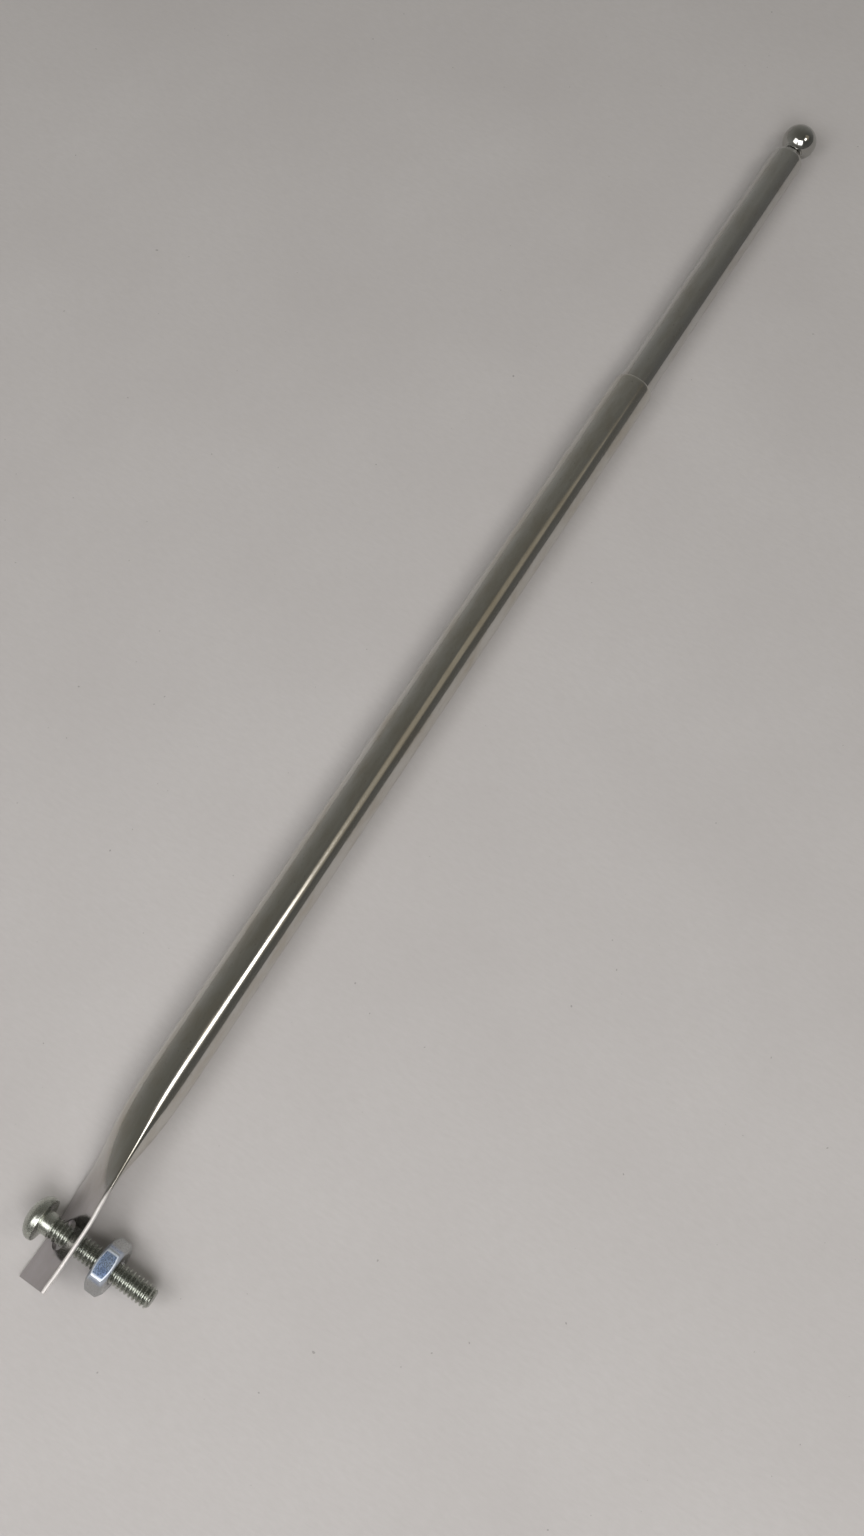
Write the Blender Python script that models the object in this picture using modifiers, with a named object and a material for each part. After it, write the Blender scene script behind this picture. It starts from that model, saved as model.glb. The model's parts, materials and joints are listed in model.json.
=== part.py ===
"""Telescopic rod of a rabbit ears antenna, with the screw and nut that pivot it on its base.

The rod lies on a flat surface at Z = 0, along X: its flattened, punched end is at -X and its
ball tip at +X. Section 1 is the fixed outer tube, sections 2 to 5 are the tubes that slide in
it, one inside the other, and section 6 is the solid tip rod. Along the rod, distances are
measured from the cut end of the flattened blade.
"""
import math

import bmesh
import bpy
from mathutils import Matrix, Vector

# Tubes
SECTION_DIAMETERS = (0.00831, 0.00702, 0.00585, 0.00468, 0.00351, 0.00234)
WALL = 0.00029
OUTER_MOUTH = 0.2077          # mouth of the outer tube
SECTION_2_MOUTH = 0.2782      # mouth of section 2, pulled about half way out
NESTED_STEPS = (0.00094, 0.00047, 0.00023)   # how far each next mouth stands out of the last
MOUTH_PLAY = 0.00006          # radial play of a section in the rolled mouth around it
MOUTH_ROLL = 0.00082          # length of the rolled-in mouth
MOUTH_OUTSIDE = ((0.0, 1.0), (0.1, 0.5), (0.3, 0.1))   # (inwards, back from the mouth), in rolls
MOUTH_LIP = 0.1               # how far the lip's top lies inside the middle of the wall, in rolls
MOUTH_BORE = (0.15, 0.5)      # start and end of the close-fitting lip, back from the mouth, in rolls
MOUTH_DEPTH = 1.2             # where the full bore starts, back from the mouth, in rolls

# Flattened end of the outer tube
BLADE_FLAT = 0.0129           # length that is pressed fully flat
BLADE_THICKNESS = 0.00077
TRANSITION = 0.0456           # length over which the round tube becomes the flat blade
FLATTENING = 4.5              # power that keeps the tube nearly round until close to the blade
BORE_START = 0.0427           # from here on the bore is round to within about 0.01 mm
BLADE_BOW = 0.00035           # how far the punched part is dished towards the nut's side
BOW_START = 0.0053            # the dished part, from the cut end
BOW_END = 0.0123
BOW_FADE = 0.0059             # length over which the dish fades towards the tube
BOW_AT_END = 0.5              # share of the dish that is left at the cut end
HOLE_DISTANCE = 0.00936       # hole centre from the cut end
HOLE_DIAMETER = 0.0056
HOLE_CUTTER_REACH = 0.01

# Bushes and springs at the bottom of each sliding section
BUSH_PLAY = 0.0001            # radial play of a bush in the tube around it
PRESS_GAP = 0.00003           # gap between a bush and the tube or rod that it is pressed on
FLANGE = 0.00094              # length of each of a bush's two flanges
GROOVE = 0.00468              # length of the groove between the flanges
SPIGOT = 0.0041               # length of the bush that goes into its tube
GROOVE_DEPTH = 0.00041
BUSH_HOLE_SHARE = 0.6         # radius of a bush's hole, as a share of its spigot's
BOTTOM_CLEARANCE = 0.00094    # left under a bush when its section is pushed right in
STUB_SHARE = 0.6              # radius of the tip rod's end in its bush, as a share of its own
SPRING_THICKNESS = 0.00014
SPRING_PLAY = 0.00005
SPRING_END_GAP = 0.0002
SPRING_SLIT = 0.00059
SPRING_BARREL = (0.3, 0.7)    # start and end of its widest part, as shares of its length

# Ball tip
BALL_DIAMETER = 0.00749
BALL_CENTRE = 0.28396
BALL_COLLAR_RADIUS = 0.0021
BALL_SOCKET = 0.0041          # depth of the hole that takes the tip rod
END_GAP = 0.0001
TIP_CHAMFER = 0.00023

# Pivot screw and nut
THREAD_PITCH = 0.000794
THREAD_RADIUS = 0.00204
THREAD_DEPTH = 0.00044
THREAD_CREST = 0.00012
THREAD_HALF_ANGLE = math.radians(30)
THREAD_PLAY = 0.00006         # radial play between the two threads
SCREW_LENGTH = 0.0225         # from under the head to the tip
HEAD_RADIUS = 0.0041
HEAD_HEIGHT = 0.00304
HEAD_RIM = 0.0007             # height of the head's rim, under its dome
HEAD_UNDER_SHARE = 0.97       # radius of the head's flat underside, as a share of its own
BLANK_SHARE = 1.2             # radius of the screw's blank, as a share of its thread's
POINT_SHARE = 0.9             # radius of the screw's flat point, as a share of its core's
PLAIN_NECK = 0.00176          # unthreaded length under the head
NECK_RADIUS = 0.00207
THREAD_TOP = -0.0002          # the screw's first crest, inside its plain neck
SCREW_TURNS = 30
TAP_TURNS = 8
TAP_WIDER = 0.00002           # how much wider the tap's crest is than the screw's
SLOT_WIDTH = 0.00117
SLOT_DEPTH = 0.0014
NUT_FLATS = 0.00889           # across flats
NUT_THICKNESS = 0.00318
NUT_FACE_SHARE = 0.95         # radius of the nut's flat face, as a share of half its flats
NUT_CHAMFER = math.radians(30)
NUT_BLANK_SHARE = 1.1         # radius of the nut's envelope, as a share of its corners'
NUT_TURN = math.radians(30)   # a flat of the nut faces the surface
SINK_PLAY = 0.00012           # how far the nut's countersinks are wider than the thread
HEAD_TO_BLADE = 0.0044        # along the screw, from under its head to the hole's centre
BLADE_TO_NUT = 0.00889        # along the screw, from the hole's centre to the nut's middle

# How the rod lies
BLADE_TILT = math.radians(36.5)   # the blade's upper edge leans towards -Y, from upright
SCREW_YAW = math.radians(-2.8)   # the screw's tip turns towards +X, from square to the rod
FLOOR_GAP = 0.00002           # left under the nut
DIP_ROUNDS = 20               # rounds that settle how far the screw dips onto its nut

# Facets
TUBE_STEPS = 32
LOFT_RINGS = 18
BORE_RINGS = 10
BALL_RINGS = 12
HEAD_RINGS = 6
BORE_CLOSING = 0.93           # share of the transition that the bore reaches into
SMALL_STEPS = 24
THREAD_STEPS = 16
SHARP_ANGLE = math.radians(35)
MERGE = 0.000001              # points closer than this are joined
AXIS_SIZE = 0.005

TIP = len(SECTION_DIAMETERS)
BUSH_LENGTH = 2 * FLANGE + GROOVE
BLADE_WIDTH = math.pi * (SECTION_DIAMETERS[0] - WALL - BLADE_THICKNESS) / 2 + BLADE_THICKNESS
ROUND_START = BLADE_FLAT + TRANSITION


def clear_scene():
    for old in list(bpy.data.objects):
        bpy.data.objects.remove(old)


def new_collection(name):
    collection = bpy.data.collections.new(name)
    bpy.context.scene.collection.children.link(collection)
    return collection


def new_material(name, color, roughness, metallic=1.0):
    material = bpy.data.materials.new(name)
    material.use_nodes = True
    shader = material.node_tree.nodes["Principled BSDF"]
    shader.inputs["Base Color"].default_value = (*color, 1.0)
    shader.inputs["Roughness"].default_value = roughness
    shader.inputs["Metallic"].default_value = metallic
    return material


def new_frame(name, location, rotation):
    """An empty that carries pieces on its own Z axis."""
    frame = bpy.data.objects.new(name, None)
    frame.rotation_mode = "QUATERNION"
    frame.location = location
    frame.rotation_quaternion = rotation
    frame.empty_display_size = AXIS_SIZE
    PARTS.objects.link(frame)
    return frame


def new_object(name, mesh, parent, distance=0.0, turn=0.0, material=None, collection=None):
    """An object on its parent's Z axis, at a distance along it and turned about it."""
    obj = bpy.data.objects.new(name, mesh)
    obj.parent = parent
    obj.location = (0, 0, distance)
    obj.rotation_euler = (0, 0, turn)
    (collection or PARTS).objects.link(obj)
    if material:
        mesh.materials.append(material)
    return obj


def as_cutter(obj):
    obj.hide_render = True
    obj.display_type = "WIRE"
    return obj


def polyline_mesh(name, points, closed):
    """Edges through (radius, height) points in the XZ plane."""
    mesh = bpy.data.meshes.new(name)
    count = len(points)
    edges = [(i, (i + 1) % count) for i in range(count if closed else count - 1)]
    mesh.from_pydata([(radius, 0, height) for radius, height in points], edges, [])
    return mesh


def turned(name, points, parent, closed=True, steps=TUBE_STEPS, pitch=0.0, turns=1, **place):
    """A profile turned about the parent's Z axis, rising by the pitch at each turn."""
    obj = new_object(name, polyline_mesh(name, points, closed), parent, **place)
    screw = obj.modifiers.new("turn", "SCREW")
    screw.axis = "Z"
    screw.angle = 2 * math.pi
    screw.steps = steps
    screw.render_steps = steps
    screw.screw_offset = pitch
    screw.iterations = turns
    screw.use_merge_vertices = pitch == 0
    screw.merge_threshold = 1e-7
    screw.use_smooth_shade = False
    return obj


def boolean(obj, other, operation):
    modifier = obj.modifiers.new(operation.lower(), "BOOLEAN")
    modifier.operation = operation
    modifier.solver = "EXACT"
    modifier.object = other


def settle(obj):
    """Turns the modified shape into the object's own mesh."""
    bpy.context.view_layer.update()
    graph = bpy.context.evaluated_depsgraph_get()
    mesh = bpy.data.meshes.new_from_object(obj.evaluated_get(graph))
    obj.modifiers.clear()
    obj.data = mesh
    bm = bmesh.new()
    bm.from_mesh(mesh)
    bmesh.ops.remove_doubles(bm, verts=bm.verts, dist=MERGE)
    bmesh.ops.dissolve_degenerate(bm, edges=bm.edges, dist=MERGE)
    bm.to_mesh(mesh)
    bm.free()
    return obj


def smooth(obj):
    settle(obj)
    obj.data.shade_smooth()
    obj.data.set_sharp_from_angle(angle=SHARP_ANGLE)
    return obj


def arc(centre_radius, centre_height, radius, start, end, count):
    """(radius, height) points on an arc; angles are in degrees from straight outwards."""
    points = []
    for i in range(count + 1):
        angle = math.radians(start + (end - start) * i / count)
        points.append((centre_radius + radius * math.cos(angle),
                       centre_height + radius * math.sin(angle)))
    return points


# ---- Tubes ----

def blade_outline_point(fraction, half_width, half_thickness):
    """A point at a fraction of the way round a flat bar with round edges, from its +X edge."""
    run = half_width - half_thickness
    bend = math.pi * half_thickness
    length = 4 * run + 2 * bend
    along = (fraction * length + bend / 2) % length
    side = 1.0
    if along >= length / 2:
        along -= length / 2
        side = -1.0
    if along < bend:
        angle = along / half_thickness - math.pi / 2
        x = run + half_thickness * math.cos(angle)
        y = half_thickness * math.sin(angle)
    else:
        x = run - (along - bend)
        y = half_thickness
    return side * x, side * y


def outer_ring(distance, flatness, inset=0.0):
    """A ring of points between a circle, flatness 0, and the flat blade, flatness 1."""
    radius = SECTION_DIAMETERS[0] / 2 - inset
    bow = BLADE_BOW * bow_share(distance)
    ring = []
    for i in range(TUBE_STEPS):
        angle = 2 * math.pi * i / TUBE_STEPS
        flat_x, flat_y = blade_outline_point(i / TUBE_STEPS, BLADE_WIDTH / 2 - inset,
                                             BLADE_THICKNESS / 2 - min(inset, BLADE_THICKNESS / 3))
        x = radius * math.cos(angle) * (1 - flatness) + flat_x * flatness
        y = radius * math.sin(angle) * (1 - flatness) + flat_y * flatness
        ring.append(Vector((x, y + bow, distance)))
    return ring


def bow_share(distance):
    """Share of the blade's full dish at a distance from its cut end."""
    if distance < BOW_START:
        return BOW_AT_END + (1 - BOW_AT_END) * distance / BOW_START
    if distance <= BOW_END:
        return 1.0
    return max(0.0, 1 - (distance - BOW_END) / BOW_FADE)


def flatness_at(distance):
    """Share of the way from round to flat: most of the change is near the blade."""
    share = min(1.0, max(0.0, (ROUND_START - distance) / TRANSITION))
    return (share * share * (3 - 2 * share)) ** FLATTENING


def round_ring(radius, distance):
    return [Vector((radius * math.cos(2 * math.pi * i / TUBE_STEPS),
                    radius * math.sin(2 * math.pi * i / TUBE_STEPS), distance))
            for i in range(TUBE_STEPS)]


def mouth_points(radius, mouth_radius, mouth):
    """(radius, distance) points over a rolled-in mouth, from the outside round to the bore."""
    points = [(radius - inwards * MOUTH_ROLL, mouth - back * MOUTH_ROLL)
              for inwards, back in MOUTH_OUTSIDE]
    points.append(((radius + mouth_radius) / 2 - MOUTH_LIP * MOUTH_ROLL, mouth))
    points += [(mouth_radius, mouth - back * MOUTH_ROLL) for back in MOUTH_BORE]
    points.append((radius - WALL, mouth - MOUTH_DEPTH * MOUTH_ROLL))
    return points


def outer_tube_mesh():
    """The outer skin from the blade to the mouth, then the bore back to where it closes."""
    rings = [outer_ring(distance, 1.0) for distance in (0.0, BOW_START, BOW_END, BLADE_FLAT)]
    for i in range(1, LOFT_RINGS + 1):
        distance = BLADE_FLAT + TRANSITION * i / LOFT_RINGS
        rings.append(outer_ring(distance, flatness_at(distance)))
    mouth_radius = SECTION_DIAMETERS[1] / 2 + MOUTH_PLAY
    for radius, distance in mouth_points(SECTION_DIAMETERS[0] / 2, mouth_radius, OUTER_MOUTH):
        rings.append(round_ring(radius, distance))
    for i in range(BORE_RINGS + 1):
        distance = ROUND_START - BORE_CLOSING * TRANSITION * i / BORE_RINGS
        rings.append(outer_ring(distance, flatness_at(distance), inset=WALL))
    return skin("outer_tube", rings)


def skin(name, rings):
    """A closed skin over rings of equal counts, with a flat cap at each end."""
    bm = bmesh.new()
    rows = [[bm.verts.new(point) for point in ring] for ring in rings]
    for row, following in zip(rows, rows[1:]):
        for i in range(len(row)):
            j = (i + 1) % len(row)
            bm.faces.new((row[i], row[j], following[j], following[i]))
    bm.faces.new(list(reversed(rows[0])))
    bm.faces.new(rows[-1])
    mesh = bpy.data.meshes.new(name)
    bm.to_mesh(mesh)
    bm.free()
    return mesh


def sliding_tube(section):
    """A tube with a rolled-in mouth for the next section."""
    radius = SECTION_DIAMETERS[section - 1] / 2
    mouth_radius = SECTION_DIAMETERS[section] / 2 + MOUTH_PLAY
    bottom, mouth = LAYOUT[section]
    points = mouth_points(radius, mouth_radius, mouth - bottom)
    points = list(reversed(points + [(radius - WALL, 0), (radius, 0)]))
    return smooth(turned(f"section_{section}_tube", points, ROD, distance=bottom,
                         material=CHROME))


def tip_rod():
    """A solid rod, thinner where its bush is pressed on and where it enters the ball."""
    radius = SECTION_DIAMETERS[-1] / 2
    bottom, _ = LAYOUT[TIP]
    top = BALL_CENTRE - BALL_DIAMETER / 2 + BALL_SOCKET - bottom
    points = [(0, top), (radius - TIP_CHAMFER, top), (radius, top - TIP_CHAMFER), (radius, 0),
              (radius * STUB_SHARE, 0), (radius * STUB_SHARE, -BUSH_LENGTH), (0, -BUSH_LENGTH)]
    return smooth(turned("tip_rod", points, ROD, closed=False, distance=bottom, material=CHROME))


def tip_ball():
    """A ball with a short collar and a blind hole for the tip rod."""
    radius = BALL_DIAMETER / 2
    hole_radius = SECTION_DIAMETERS[-1] / 2 + PRESS_GAP
    collar_angle = -math.degrees(math.acos(BALL_COLLAR_RADIUS / radius))
    points = arc(0, 0, radius, 90, collar_angle, BALL_RINGS)
    points[0] = (0, radius)
    points += [(BALL_COLLAR_RADIUS, -radius), (hole_radius, -radius),
               (hole_radius, BALL_SOCKET - radius + END_GAP), (0, BALL_SOCKET - radius + END_GAP)]
    return smooth(turned("tip_ball", points, ROD, closed=False, distance=BALL_CENTRE,
                         material=CHROME))


# ---- Bushes and springs ----

def bush(section):
    """A turned brass bush: a spigot in the tube, two flanges and a groove for the spring."""
    bore = SECTION_DIAMETERS[section - 2] / 2 - WALL
    flange = bore - BUSH_PLAY
    groove = groove_radius(section)
    points = [(groove, -FLANGE), (groove, -FLANGE - GROOVE), (flange, -FLANGE - GROOVE),
              (flange, -BUSH_LENGTH)]
    if section == TIP:
        hole = SECTION_DIAMETERS[-1] / 2 * STUB_SHARE + PRESS_GAP
        points = [(hole, -END_GAP), (flange, -END_GAP), (flange, -FLANGE)] + points
        points += [(hole, -BUSH_LENGTH)]
    else:
        spigot = SECTION_DIAMETERS[section - 1] / 2 - WALL - PRESS_GAP
        hole = spigot * BUSH_HOLE_SHARE
        points = [(hole, SPIGOT), (spigot, SPIGOT), (spigot, -PRESS_GAP), (flange, -PRESS_GAP),
                  (flange, -FLANGE)] + points + [(hole, -BUSH_LENGTH)]
    return smooth(turned(f"section_{section}_bush", points, ROD, steps=SMALL_STEPS,
                         distance=LAYOUT[section][0], material=BRASS))


def groove_radius(section):
    bore = SECTION_DIAMETERS[section - 2] / 2 - WALL
    return bore - BUSH_PLAY - GROOVE_DEPTH


def contact_spring(section):
    """A barrel-shaped sleeve with one slit, sprung between its bush and the tube around it."""
    low = groove_radius(section) + PRESS_GAP
    high = SECTION_DIAMETERS[section - 2] / 2 - WALL - SPRING_PLAY
    length = GROOVE - 2 * SPRING_END_GAP
    top = -FLANGE - SPRING_END_GAP
    heights = [top - length * share for share in (0.0, *SPRING_BARREL, 1.0)]
    outside = [low + SPRING_THICKNESS, high, high, low + SPRING_THICKNESS]
    inside = [radius - SPRING_THICKNESS for radius in outside]
    points = list(zip(outside, heights)) + list(zip(reversed(inside), reversed(heights)))
    spring = turned(f"section_{section}_spring", points, ROD, steps=SMALL_STEPS,
                    distance=LAYOUT[section][0], material=BRONZE)
    slit = box_cutter(f"slit_cutter_{section}", (high * 2, SPRING_SLIT, GROOVE * 2), ROD,
                      distance=LAYOUT[section][0] - BUSH_LENGTH / 2, offset=(high, 0, 0))
    boolean(spring, slit, "DIFFERENCE")
    return smooth(spring)


def box_cutter(name, size, parent, distance, offset=(0, 0, 0)):
    bm = bmesh.new()
    bmesh.ops.create_cube(bm, size=1)
    bmesh.ops.scale(bm, vec=size, verts=bm.verts)
    bmesh.ops.translate(bm, vec=offset, verts=bm.verts)
    mesh = bpy.data.meshes.new(name)
    bm.to_mesh(mesh)
    bm.free()
    return as_cutter(new_object(name, mesh, parent, distance=distance, collection=CUTTERS))


# ---- Pivot screw and nut ----

def threaded_rod(name, core_radius, crest_width, top, turns):
    """A closed rod with a right-handed thread, its axis on Z and its first crest at the top."""
    crest = core_radius + THREAD_DEPTH
    foot_width = crest_width + 2 * math.tan(THREAD_HALF_ANGLE) * THREAD_DEPTH
    points = [(crest, crest_width / 2), (crest, -crest_width / 2), (core_radius, -foot_width / 2),
              (core_radius, foot_width / 2 - THREAD_PITCH), (crest, crest_width / 2 - THREAD_PITCH)]
    rod = turned(name, points, SCREW_AXIS, closed=False, steps=THREAD_STEPS, pitch=THREAD_PITCH,
                 turns=turns, distance=top - turns * THREAD_PITCH, collection=CUTTERS)
    settle(rod)
    bm = bmesh.new()
    bm.from_mesh(rod.data)
    middle = (turns - 1) * THREAD_PITCH / 2
    rim = [edge for edge in bm.edges if edge.is_boundary]
    for is_top in (False, True):
        loop = [edge for edge in rim if (edge.verts[0].co.z > middle) == is_top]
        height = sum(edge.verts[0].co.z for edge in loop) / len(loop)
        made = bmesh.ops.extrude_edge_only(bm, edges=loop)["geom"]
        tips = [item for item in made if isinstance(item, bmesh.types.BMVert)]
        bmesh.ops.pointmerge(bm, verts=tips, merge_co=(0, 0, height))
    bmesh.ops.recalc_face_normals(bm, faces=bm.faces)
    bm.to_mesh(rod.data)
    bm.free()
    return as_cutter(rod)


def pivot_screw():
    """A slotted round-head machine screw: Z runs out of its head, from under the head."""
    core = THREAD_RADIUS - THREAD_DEPTH
    shank = threaded_rod("screw_thread", core, THREAD_CREST, THREAD_TOP, SCREW_TURNS)
    wide = THREAD_RADIUS * BLANK_SHARE
    ends = [(0, THREAD_TOP - THREAD_PITCH), (wide, THREAD_TOP - THREAD_PITCH),
            (wide, wide - core - SCREW_LENGTH), (core * POINT_SHARE, -SCREW_LENGTH),
            (0, -SCREW_LENGTH)]
    blank = as_cutter(turned("screw_blank", ends, SCREW_AXIS, closed=False,
                             collection=CUTTERS))
    dome = arc(0, 0, 1, 90, 0, HEAD_RINGS)
    points = [(HEAD_RADIUS * x, HEAD_RIM + (HEAD_HEIGHT - HEAD_RIM) * y) for x, y in dome]
    points[0] = (0, HEAD_HEIGHT)
    neck_end = -PLAIN_NECK - THREAD_DEPTH
    points += [(HEAD_RADIUS * HEAD_UNDER_SHARE, 0), (NECK_RADIUS, 0),
               (NECK_RADIUS, -PLAIN_NECK), (core * POINT_SHARE, neck_end), (0, neck_end)]
    screw = turned("pivot_screw", points, SCREW_AXIS, closed=False, material=ZINC)
    slot = box_cutter("slot_cutter", (HEAD_RADIUS * 3, SLOT_WIDTH, SLOT_DEPTH * 2), SCREW_AXIS,
                      distance=HEAD_HEIGHT)
    boolean(shank, blank, "INTERSECT")
    boolean(screw, shank, "UNION")
    boolean(screw, slot, "DIFFERENCE")
    return smooth(screw)


def pivot_nut():
    """A hexagon nut with a real thread in mesh with the screw's."""
    middle = -HEAD_TO_BLADE - BLADE_TO_NUT
    radius = NUT_FLATS / math.sqrt(3)
    bm = bmesh.new()
    bmesh.ops.create_cone(bm, cap_ends=True, segments=6, radius1=radius, radius2=radius,
                          depth=NUT_THICKNESS)
    bmesh.ops.translate(bm, vec=(0, 0, middle), verts=bm.verts)
    mesh = bpy.data.meshes.new("pivot_nut")
    bm.to_mesh(mesh)
    bm.free()
    nut = new_object("pivot_nut", mesh, SCREW_AXIS, turn=NUT_TURN, material=BLUE_ZINC)
    half = NUT_THICKNESS / 2
    face_radius = NUT_FLATS / 2 * NUT_FACE_SHARE
    reach = radius * NUT_BLANK_SHARE
    corner = half - (reach - face_radius) * math.tan(NUT_CHAMFER)
    crown = [(0, half), (face_radius, half), (reach, corner), (reach, -corner),
             (face_radius, -half), (0, -half)]
    envelope = as_cutter(turned("nut_envelope", crown, SCREW_AXIS, closed=False,
                                distance=middle, collection=CUTTERS))
    core = THREAD_RADIUS - THREAD_DEPTH + THREAD_PLAY
    turns_above = math.floor((THREAD_TOP - middle - half) / THREAD_PITCH) - 1
    tap = threaded_rod("tap", core, THREAD_CREST + TAP_WIDER,
                       THREAD_TOP - turns_above * THREAD_PITCH, TAP_TURNS)
    sink = THREAD_RADIUS + SINK_PLAY
    depth = half / 2
    for side in (1, -1):
        cone = [(0, half + depth), (sink + depth, half + depth), (sink - depth, half - depth),
                (0, half - depth)]
        if side < 0:
            cone = [(x, -y) for x, y in reversed(cone)]
        countersink = as_cutter(turned("countersink", cone, SCREW_AXIS, closed=False,
                                       distance=middle, collection=CUTTERS))
        boolean(nut, countersink, "DIFFERENCE")
    boolean(nut, envelope, "INTERSECT")
    boolean(nut, tap, "DIFFERENCE")
    return smooth(nut)


# ---- Layout ----

def section_layout():
    """Bottom and mouth of each sliding tube along the rod, by section number."""
    layout = {}
    pushed_in = OUTER_MOUTH + NESTED_STEPS[0]
    travel_in = SECTION_2_MOUTH - pushed_in
    bottom = BORE_START + BOTTOM_CLEARANCE + travel_in + BUSH_LENGTH
    mouth = SECTION_2_MOUTH
    steps = NESTED_STEPS + (0.0,)
    for section in range(2, TIP + 1):
        layout[section] = (bottom, mouth)
        bottom += SPIGOT + BOTTOM_CLEARANCE + BUSH_LENGTH
        mouth += steps[min(section - 2, len(steps) - 1)]
    return layout


def rod_pose():
    """Height of the blade's end and turn of the rod: it rests on the blade's edge and the ball."""
    round_edge = BLADE_THICKNESS / 2
    blade_height = ((BLADE_WIDTH / 2 - round_edge) * math.cos(BLADE_TILT) + round_edge
                    + BLADE_BOW * math.sin(BLADE_TILT))
    reach = BALL_CENTRE - HOLE_DISTANCE
    pitch = math.asin((blade_height - BALL_DIAMETER / 2) / reach)
    height = blade_height + HOLE_DISTANCE * math.sin(pitch)
    lay_down = Matrix.Rotation(math.pi / 2 + pitch, 3, "Y")
    roll = Matrix.Rotation(math.pi + BLADE_TILT, 3, "Z")
    return Vector((0, 0, height)), lay_down @ roll


def screw_pose(rod_place, rod_turn):
    """Place under the screw's head and its turn: it leans on the nut's flat, tip down."""
    hole = rod_place + rod_turn @ Vector((0, BLADE_BOW, HOLE_DISTANCE))
    dip = 0.0
    for _ in range(DIP_ROUNDS):
        nut_height = NUT_FLATS / 2 * math.cos(dip) + NUT_THICKNESS / 2 * math.sin(dip)
        dip = math.asin((hole.z - nut_height - FLOOR_GAP) / BLADE_TO_NUT)
    head = Vector((-math.sin(SCREW_YAW) * math.cos(dip), math.cos(SCREW_YAW) * math.cos(dip),
                   math.sin(dip)))
    turn = Matrix.Rotation(SCREW_YAW, 3, "Z") @ Matrix.Rotation(dip - math.pi / 2, 3, "X")
    return hole + head * HEAD_TO_BLADE, turn


def centre_on_origin(frames):
    """Moves the frames so that the parts stand on Z = 0, centred over the origin."""
    bpy.context.view_layer.update()
    points = [obj.matrix_world @ vertex.co for obj in PARTS.objects if obj.type == "MESH"
              for vertex in obj.data.vertices]
    low = Vector([min(point[axis] for point in points) for axis in range(3)])
    high = Vector([max(point[axis] for point in points) for axis in range(3)])
    shift = Vector(((low.x + high.x) / 2, (low.y + high.y) / 2, low.z))
    for frame in frames:
        frame.location -= shift


def build():
    outer = new_object("outer_tube", outer_tube_mesh(), ROD, material=CHROME)
    hole = turned("hole_cutter", [(0, HOLE_CUTTER_REACH),
                                  (HOLE_DIAMETER / 2, HOLE_CUTTER_REACH),
                                  (HOLE_DIAMETER / 2, -HOLE_CUTTER_REACH),
                                  (0, -HOLE_CUTTER_REACH)],
                  ROD, closed=False, distance=HOLE_DISTANCE, collection=CUTTERS)
    hole.rotation_euler = (math.pi / 2, 0, 0)
    boolean(outer, as_cutter(hole), "DIFFERENCE")
    smooth(outer)
    for section in range(2, TIP):
        sliding_tube(section)
    tip_rod()
    tip_ball()
    for section in range(2, TIP + 1):
        bush(section)
        contact_spring(section)
    pivot_screw()
    pivot_nut()


clear_scene()
PARTS = new_collection("rabbit_ears_rod")
CUTTERS = new_collection("cutters")
CHROME = new_material("chrome", (0.62, 0.62, 0.62), 0.08)
ZINC = new_material("zinc", (0.66, 0.67, 0.67), 0.28)
BLUE_ZINC = new_material("blue_zinc", (0.55, 0.62, 0.70), 0.25)
BRASS = new_material("brass", (0.70, 0.52, 0.24), 0.30)
BRONZE = new_material("bronze", (0.66, 0.42, 0.24), 0.30)
LAYOUT = section_layout()
ROD_PLACE, ROD_TURN = rod_pose()
ROD = new_frame("rod_axis", ROD_PLACE, ROD_TURN.to_quaternion())
SCREW_PLACE, SCREW_TURN = screw_pose(ROD_PLACE, ROD_TURN)
SCREW_AXIS = new_frame("screw_axis", SCREW_PLACE, SCREW_TURN.to_quaternion())
build()
centre_on_origin((ROD, SCREW_AXIS))
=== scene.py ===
import json
import math

import bmesh
import bpy
from mathutils import Matrix, Vector


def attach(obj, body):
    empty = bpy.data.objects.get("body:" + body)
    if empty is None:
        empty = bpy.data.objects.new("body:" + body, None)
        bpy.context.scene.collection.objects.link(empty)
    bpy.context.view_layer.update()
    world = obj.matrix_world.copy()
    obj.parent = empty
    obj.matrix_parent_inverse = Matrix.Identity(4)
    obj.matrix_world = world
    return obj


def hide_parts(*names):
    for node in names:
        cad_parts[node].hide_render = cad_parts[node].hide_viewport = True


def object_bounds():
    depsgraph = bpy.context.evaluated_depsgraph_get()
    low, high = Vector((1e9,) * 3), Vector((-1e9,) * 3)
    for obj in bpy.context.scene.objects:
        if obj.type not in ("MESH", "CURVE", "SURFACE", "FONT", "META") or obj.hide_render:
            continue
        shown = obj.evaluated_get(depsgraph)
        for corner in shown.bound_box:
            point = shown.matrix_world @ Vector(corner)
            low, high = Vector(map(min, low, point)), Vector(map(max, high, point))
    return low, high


# Sizes are in metres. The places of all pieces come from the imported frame.

# Outer tube and its flattened end
HOLE_DISTANCE = 0.00936       # hole centre from the cut end
HOLE_RADIUS = 0.0028
BLADE_HALF_WIDTH = 0.00598    # 0.1 mm less than the CAD's, to stay inside its box
BLADE_HALF_THICKNESS = 0.000385
BLADE_FLAT = 0.0129           # end of the flat stretch, from the cut end
TRANSITION = 0.0456           # length over which the blade turns into the round tube
FLATTENING = 4.5              # power on the easing: more gathers it near the blade
BLADE_BOW = 0.00035
BOW_START = 0.0053
BOW_END = 0.0123
BOW_FADE = 0.0059
BOW_AT_END = 0.5
PATCH_REACH = 0.0033          # half length of the stretch round the blade's hole
WALL = 0.00029
OUTER_RADIUS = 0.004155
MOUTH_PLAY = 0.00006
MOUTH_ROLL = 0.00082
BORE_CLOSING = 0.93
EDGE = 0.00007                # rounding of the blade's cut end and of its hole's rims
CLOSED_WALL = BLADE_HALF_THICKNESS / 1.5    # on each side of the bore where it closes
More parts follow.
